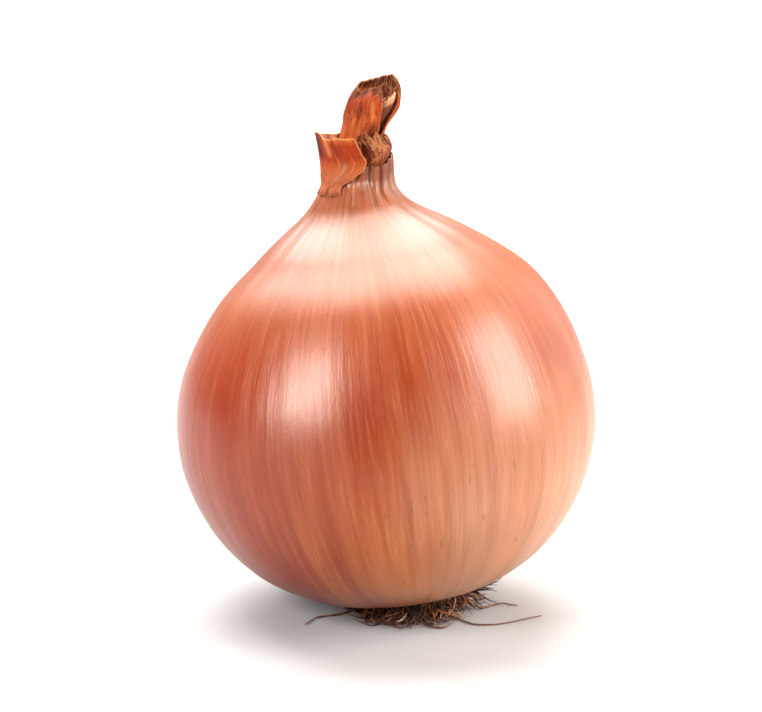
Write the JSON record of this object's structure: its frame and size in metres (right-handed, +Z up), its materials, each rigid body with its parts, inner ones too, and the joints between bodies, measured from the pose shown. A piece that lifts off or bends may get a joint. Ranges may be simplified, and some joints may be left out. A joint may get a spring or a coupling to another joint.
{
  "type": "onion",
  "caption": "Brown onion in its dry papery skin, with a torn neck and a wiry root tuft, resting on its root plate.",
  "frame": {"origin": "middle of the flat spot on the root plate that the onion rests on, under its weight", "axes": "+Z up out of the table, -Y towards the viewer, +X to the viewer's right; the neck leans to -X and a little to +Y"},
  "size_m": [0.0812, 0.0803, 0.1037],
  "materials": {
    "bulb_skin": "glossy dry papery skin",
    "collar_skin": "glossy dry papery skin",
    "fibrous_skin": "dry and fibrous",
    "curled_skin": "dry and papery",
    "inner_skin": "dry, pale and matt",
    "roots": "dry and wiry"
  },
  "bodies": {
    "root": {"bulb": "bulb_skin", "collar_scale": "collar_skin", "fibrous_scale": "fibrous_skin", "curled_leaf": "curled_skin", "inner_leaf": "inner_skin", "root_plate": "roots"}
  },
  "joints": []
}
